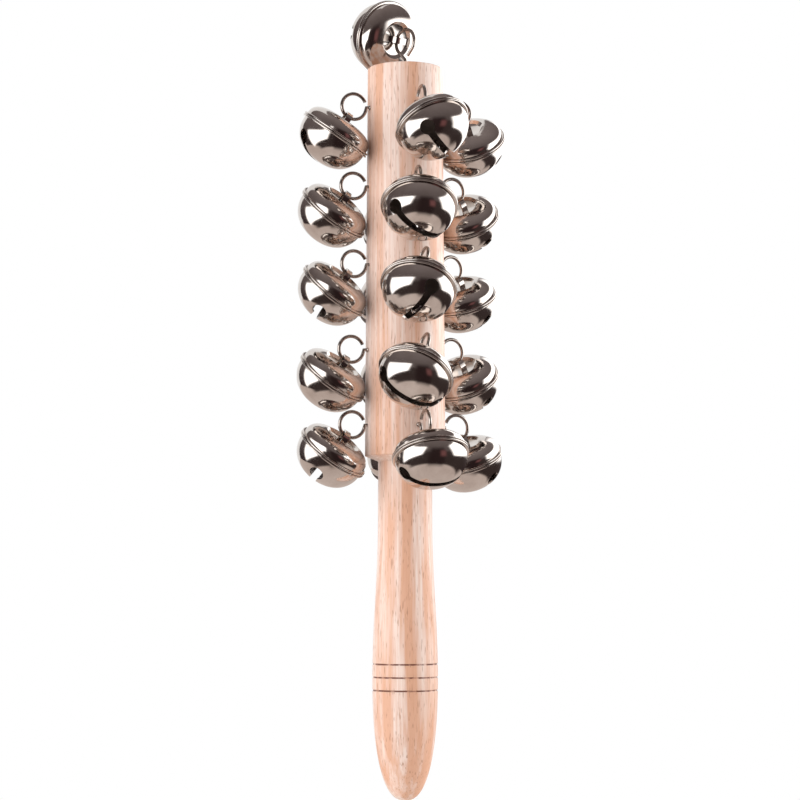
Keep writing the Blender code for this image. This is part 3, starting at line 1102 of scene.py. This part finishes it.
@dataclass(frozen=True)
class Settled:
    """How one eye of a column and its bell have settled.

    Attributes:
        turn: Turn of the eye round the stick, in degrees.
        out: How far it stands further out than its row, in millimetres.
        down: How far it stands lower than its row, in millimetres.
        tilt: Tilt of its loop about its shank, in degrees.
        lean: Lean of the bell across its swing, in degrees.
        slot: Turn of the bell's slot from its strap, in degrees.
    """

    turn: float
    out: float
    down: float
    tilt: float
    lean: float
    slot: float


@dataclass(frozen=True)
class Layout:
    """Where the eyes stand and how the bells have settled."""

    row_drops: tuple[float, ...] = (13.7 * MM, 39.3 * MM, 64.9 * MM, 92.3 * MM, 116.7 * MM)
    top_turn: float = 112.5
    top_slack: float = 1.4 * MM
    top_slot_turn: float = 3

    def settled(self) -> dict[str, tuple[int, tuple[Settled, ...]]]:
        """Angle of each column, with its rows from the top.

        Returns:
            The rows by the column's name.
        """
        return {
            "front": (
                -90,
                (
                    Settled(-5, 0.4, -0.3, 0, 14, 48),
                    Settled(-8.5, 0, 0.1, 0, -9, 28),
                    Settled(-4, 0.5, 0.4, -15, -5.5, 99),
                    Settled(-4, 1.1, 0.5, -15, -14, 0),
                    Settled(-2, 0.7, 0.4, 0, 0, 176),
                ),
            ),
            "right": (
                0,
                (
                    Settled(-3, 1, -0.1, 0, 30, 32),
                    Settled(6.5, 0.1, -0.4, 0, 26, 3),
                    Settled(14, 1, -0.6, 0, 16, 10),
                    Settled(10, 0, -0.5, 0, 19, 2),
                    Settled(6.5, 1, 0, 0, 13, 15),
                ),
            ),
            "rear": (
                90,
                (
                    Settled(-3, 0, 0, 0, -56, 35),
                    Settled(1, 0, 0, 0, -52, 80),
                    Settled(4, 0, 0, 0, -52, 140),
                    Settled(4, 0, 0, 0, -56, 10),
                    Settled(-1, 0, 0, 0, -60, 60),
                ),
            ),
            "left": (
                180,
                (
                    Settled(0, 0.4, 0, 0, -18.5, 110),
                    Settled(-4, 0, 0.1, 0, -29, 82),
                    Settled(0, 0, 0, 0, -28.5, 171),
                    Settled(-1, 0.6, 0.2, 0, -28.5, 85),
                    Settled(-2, 0, 0, 0, -27, 165),
                ),
            ),
        }

    def hangers(self, stick: StickSize, eye: EyeSize) -> list[Hanger]:
        """Every eye's place.

        Args:
            stick: Sizes of the stick.
            eye: Sizes of the eyes.

        Returns:
            The hangers, column by column, with the top one last.
        """
        found = []
        for column, (middle, rows) in self.settled().items():
            for row, settled in enumerate(rows):
                height = stick.barrel_top - self.row_drops[row] - settled.down * MM
                out = stick.barrel_radius(height) + eye.side_reach + settled.out * MM
                place = Matrix.Rotation(math.radians(middle + settled.turn), 4, "Z")
                place = place @ Matrix.Translation((out, 0, height))
                place = place @ Matrix.Rotation(math.radians(settled.tilt), 4, "X")
                name = f"{column}_{row + 1}"
                hang = lean_matrix(math.radians(settled.lean))
                slot_turn = math.radians(settled.slot)
                found.append(Hanger(name, place, eye.side_reach, eye.side_mouth, hang, slot_turn))
        place = Matrix.Translation((0, 0, stick.barrel_top + eye.top_reach))
        place = place @ Matrix.Rotation(math.radians(self.top_turn), 4, "Z")
        place = place @ Matrix.Rotation(-math.pi / 2, 4, "Y")
        hang = Matrix.Translation((0, 0, self.top_slack))
        slot_turn = math.radians(self.top_slot_turn)
        found.append(Hanger("top", place, eye.top_reach, eye.top_mouth, hang, slot_turn))
        return found


@dataclass(frozen=True)
class Camera:
    """The photograph's view."""

    azimuth: float = -22
    distance: float = 739.3 * MM
    height: float = 11.95 * MM
    pitch: float = 4.72
    lens: float = 103.5
    shift_x: float = -0.0064

    def place(self) -> None:
        """Put the camera in the scene."""
        data = bpy.data.cameras.new("camera")
        data.lens = self.lens
        data.sensor_width = 36
        data.shift_x = self.shift_x
        data.clip_start = 0.01
        camera = bpy.data.objects.new("camera", data)
        turn = math.radians(self.azimuth)
        camera.location = (self.distance * math.sin(turn), -self.distance * math.cos(turn), self.height)
        camera.rotation_euler = (math.pi / 2 + math.radians(self.pitch), 0, turn)
        bpy.context.scene.collection.objects.link(camera)
        bpy.context.scene.camera = camera


@dataclass(frozen=True)
class Card:
    """A sheet round the stick, on a sphere about the bells and seen in gloss only.

    Attributes:
        name: Name of the sheet.
        low: Azimuth and elevation of its two lower corners in degrees, 0 towards -Y and level.
        high: The same for its two upper corners.
        radius: Distance from the bells.
        colors: Its colour at the lower and at the upper edge.
        glow: Its brightness.
        fade: Share of its width and height over which its edges fade away.
    """

    name: str
    low: tuple[tuple[float, float], tuple[float, float]]
    high: tuple[tuple[float, float], tuple[float, float]]
    radius: float
    colors: tuple[tuple[float, float, float], tuple[float, float, float]]
    glow: float = 1
    fade: float = 0

    def point(self, across: float, up: float) -> Vector:
        """A point of the sheet.

        Args:
            across: Share of the way from its first side to its second.
            up: Share of the way from its lower edge to its upper.

        Returns:
            The point, measured from the bells.
        """
        lower = Vector(self.low[0]).lerp(Vector(self.low[1]), across)
        upper = Vector(self.high[0]).lerp(Vector(self.high[1]), across)
        turn, rise = (math.radians(value) for value in lower.lerp(upper, up))
        level = self.radius * math.cos(rise)
        return Vector((level * math.sin(turn), -level * math.cos(turn), self.radius * math.sin(rise)))


@dataclass(frozen=True)
class Lamp:
    """A large square lamp beside the stick.

    Attributes:
        name: Name of the lamp.
        azimuth: Direction that it stands in, 0 towards -Y, in degrees.
        height: Height of its middle.
        distance: Distance from the stick.
        size: Length of its sides.
        power: Power in watts.
    """

    name: str
    azimuth: float
    height: float
    distance: float
    size: float
    power: float


WHITE = (1.0, 1.0, 1.0)
DIM_LOW = (0.035, 0.022, 0.022)
DIM_HIGH = (0.27, 0.23, 0.225)
SHADE = (0.05, 0.036, 0.034)
DARK = (0.03, 0.018, 0.018)
RUDDY = (0.2, 0.085, 0.085)
SOFT_WHITE = (WHITE, WHITE)
NEAR = 0.35
ALL_SHADE = (SHADE, SHADE)


class Studio:
    """White floor and backdrop, a softbox on either side and dim sheets between them."""

    floor_height = -0.42
    floor_in_metal = (0.7, 0.6, 0.55)
    middle_height = 0.12
    cards = (
        Card("dim_left", ((-150, -12), (-90, -36)), ((-150, 88), (-90, 88)), 0.7, (DIM_LOW, DIM_HIGH)),
        Card("dim_front", ((-90, -36), (90, -36)), ((-90, 88), (90, 88)), 0.7, (DIM_LOW, DIM_HIGH)),
        Card("dim_right", ((90, -36), (150, -12)), ((90, 88), (150, 88)), 0.7, (DIM_LOW, DIM_HIGH)),
        Card("low_band", ((-110, -47), (120, -47)), ((-110, 5), (120, 5)), 0.56, ALL_SHADE, 1, 0.12),
        Card("middle_shade", ((-42, -60), (34, -60)), ((-24, 24), (26, 24)), 0.45, (DARK, DARK), 1, 0.25),
        Card("ruddy_patch", ((3, -24), (30, -24)), ((3, 10), (30, 10)), 0.42, (RUDDY, RUDDY), 1, 0.4),
        Card("left_softbox", ((-120, -30), (-42, -12)), ((-120, 22), (-27, 18)), NEAR, SOFT_WHITE, 2.6, 0.13),
        Card("right_softbox", ((45, -17), (150, -8)), ((31, 18), (150, 48)), NEAR, SOFT_WHITE, 2.6, 0.13),
    )
    lamps = (
        Lamp("left_lamp", -80, 0.2, 0.7, 0.8, 5.5),
        Lamp("right_lamp", 80, 0.2, 0.7, 0.8, 6.5),
    )

    def world(self) -> None:
        """White for the camera and in the metal, and plain soft light for the rest."""
        world = bpy.data.worlds.new("studio")
        bpy.context.scene.world = world
        world.use_nodes = True
        tree = world.node_tree
        soft = tree.nodes["Background"]
        soft.inputs["Color"].default_value = (1, 0.985, 0.97, 1)
        soft.inputs["Strength"].default_value = 0.66
        white = tree.nodes.new("ShaderNodeBackground")
        white.inputs["Color"].default_value = (1, 1, 1, 1)
        mix = tree.nodes.new("ShaderNodeMixShader")
        tree.links.new(self.seen(tree), mix.inputs["Fac"])
        tree.links.new(soft.outputs["Background"], mix.inputs[1])
        tree.links.new(white.outputs["Background"], mix.inputs[2])
        tree.links.new(mix.outputs["Shader"], tree.nodes["World Output"].inputs["Surface"])

    @staticmethod
    def seen(tree: bpy.types.NodeTree) -> bpy.types.NodeSocket:
        """A value of 1 for rays of the camera, of gloss and through glass."""
        path = tree.nodes.new("ShaderNodeLightPath")
        total = path.outputs["Is Camera Ray"]
        for name in ("Is Glossy Ray", "Is Transmission Ray"):
            total = join_values(tree, "MAXIMUM", total, path.outputs[name])
        return total

    def card_material(self, card: Card) -> bpy.types.Material:
        """The glow of a sheet, with its two colours and its faded edges.

        Args:
            card: The sheet.

        Returns:
            The material.
        """
        material = bpy.data.materials.new(card.name)
        material.use_nodes = True
        tree = material.node_tree
        tree.nodes.remove(tree.nodes["Principled BSDF"])
        place = tree.nodes.new("ShaderNodeUVMap")
        split = tree.nodes.new("ShaderNodeSeparateXYZ")
        tree.links.new(place.outputs["UV"], split.inputs["Vector"])
        glow = tree.nodes.new("ShaderNodeEmission")
        glow.inputs["Strength"].default_value = card.glow
        tree.links.new(blend_colors(tree, split.outputs["Y"], *card.colors), glow.inputs["Color"])
        output = tree.nodes["Material Output"].inputs["Surface"]
        if not card.fade:
            tree.links.new(glow.outputs["Emission"], output)
            return material
        covers = []
        for axis in ("X", "Y"):
            centred = join_values(tree, "SUBTRACT", split.outputs[axis], 0.5)
            fade = tree.nodes.new("ShaderNodeMapRange")
            fade.interpolation_type = "SMOOTHSTEP"
            fade.inputs["From Min"].default_value = 0.5
            fade.inputs["From Max"].default_value = 0.5 - card.fade
            tree.links.new(join_values(tree, "ABSOLUTE", centred, 0), fade.inputs["Value"])
            covers.append(fade.outputs["Result"])
        clear = tree.nodes.new("ShaderNodeBsdfTransparent")
        mix = tree.nodes.new("ShaderNodeMixShader")
        tree.links.new(join_values(tree, "MULTIPLY", *covers), mix.inputs["Fac"])
        tree.links.new(clear.outputs["BSDF"], mix.inputs[1])
        tree.links.new(glow.outputs["Emission"], mix.inputs[2])
        tree.links.new(mix.outputs["Shader"], output)
        return material

    @staticmethod
    def show_in_metal_only(obj: bpy.types.Object) -> None:
        """Keep a sheet out of the picture and out of the light."""
        obj.visible_camera = False
        obj.visible_diffuse = False
        obj.visible_shadow = False

    @staticmethod
    def stage_object(name: str, work: bmesh.types.BMesh) -> bpy.types.Object:
        """Put a bmesh in the scene."""
        mesh = bpy.data.meshes.new(name)
        work.to_mesh(mesh)
        work.free()
        obj = bpy.data.objects.new(name, mesh)
        bpy.context.scene.collection.objects.link(obj)
        return obj

    def add_card(self, card: Card) -> None:
        """Hang a sheet.

        Args:
            card: The sheet.
        """
        across, up = 32, 16
        work = bmesh.new()
        layer = work.loops.layers.uv.new("place")
        middle = Vector((0, 0, self.middle_height))
        grid = [
            [work.verts.new(middle + card.point(i / across, j / up)) for j in range(up + 1)]
            for i in range(across + 1)
        ]
        for i in range(across):
            for j in range(up):
                corners = ((i, j), (i + 1, j), (i + 1, j + 1), (i, j + 1))
                face = work.faces.new([grid[a][b] for a, b in corners])
                for loop, (a, b) in zip(face.loops, corners):
                    loop[layer].uv = (a / across, b / up)
        obj = self.stage_object(card.name, work)
        obj.data.materials.append(self.card_material(card))
        self.show_in_metal_only(obj)

    def add_disc(self, name: str, height: float, radius: float) -> bpy.types.Object:
        """A flat round sheet."""
        work = bmesh.new()
        place = Matrix.Translation((0, 0, height))
        bmesh.ops.create_circle(work, cap_ends=True, segments=96, radius=radius, matrix=place)
        return self.stage_object(name, work)

    def add_lamp(self, lamp: Lamp) -> None:
        """Stand a lamp and aim it at the stick."""
        data = bpy.data.lights.new(lamp.name, "AREA")
        data.energy = lamp.power
        data.size = lamp.size
        obj = bpy.data.objects.new(lamp.name, data)
        turn = math.radians(lamp.azimuth)
        obj.location = (lamp.distance * math.sin(turn), -lamp.distance * math.cos(turn), lamp.height)
        aim = Vector((0, 0, self.middle_height / 2)) - obj.location
        obj.rotation_euler = aim.to_track_quat("-Z", "Y").to_euler()
        obj.visible_glossy = False
        bpy.context.scene.collection.objects.link(obj)

    def build(self) -> None:
        """Set the world, the floor, the sheets and the lamps."""
        self.world()
        floor = self.add_disc("floor", self.floor_height, 4)
        floor.data.materials.append(self.floor_material())
        for card in self.cards:
            self.add_card(card)
        for lamp in self.lamps:
            self.add_lamp(lamp)

    def floor_material(self) -> bpy.types.Material:
        """White for the camera, beige in the metal, and a pale matt sheet under the light.

        Returns:
            The material.
        """
        material = bpy.data.materials.new("floor")
        material.use_nodes = True
        tree = material.node_tree
        sheet = tree.nodes["Principled BSDF"]
        sheet.inputs["Base Color"].default_value = (0.9, 0.89, 0.87, 1)
        sheet.inputs["Roughness"].default_value = 0.9
        path = tree.nodes.new("ShaderNodeLightPath")
        tint = blend_colors(tree, path.outputs["Is Camera Ray"], self.floor_in_metal, WHITE)
        glow = tree.nodes.new("ShaderNodeEmission")
        tree.links.new(tint, glow.inputs["Color"])
        mix = tree.nodes.new("ShaderNodeMixShader")
        tree.links.new(self.seen(tree), mix.inputs["Fac"])
        tree.links.new(sheet.outputs["BSDF"], mix.inputs[1])
        tree.links.new(glow.outputs["Emission"], mix.inputs[2])
        tree.links.new(mix.outputs["Shader"], tree.nodes["Material Output"].inputs["Surface"])
        return material


def build_pieces(collection: bpy.types.Collection, bodies: set[str]) -> None:
    """Build and dress every piece of the object.

    Args:
        collection: Collection that takes the pieces.
        bodies: Names of the frame's bodies.
    """
    stick = Stick(collection)
    stick.build()
    hangers = Layout().hangers(stick.size, Eyes.size)
    eyes = Eyes(collection)
    eyes.build(hangers)
    bells = Bells(collection)
    bells.build(hangers, stick.size, bodies)
    stick.dress(Beech(stick.size.ring_heights()))
    eyes.dress(WirePlate())
    bells.dress(Plating(), PaintedShadeInside(), SheetEdge(), BallSteel())


def main() -> None:
    """Build the scene around the frame."""
    logging.basicConfig(level=logging.INFO, format="%(message)s")
    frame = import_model()
    collection = bpy.data.collections.new("jingle_bell_stick")
    bpy.context.scene.collection.children.link(collection)
    Camera().place()
    Studio().build()
    bpy.context.scene.view_settings.view_transform = "Standard"
    build_pieces(collection, set(frame["bodies"]))


if __name__ == "__main__":
    main()
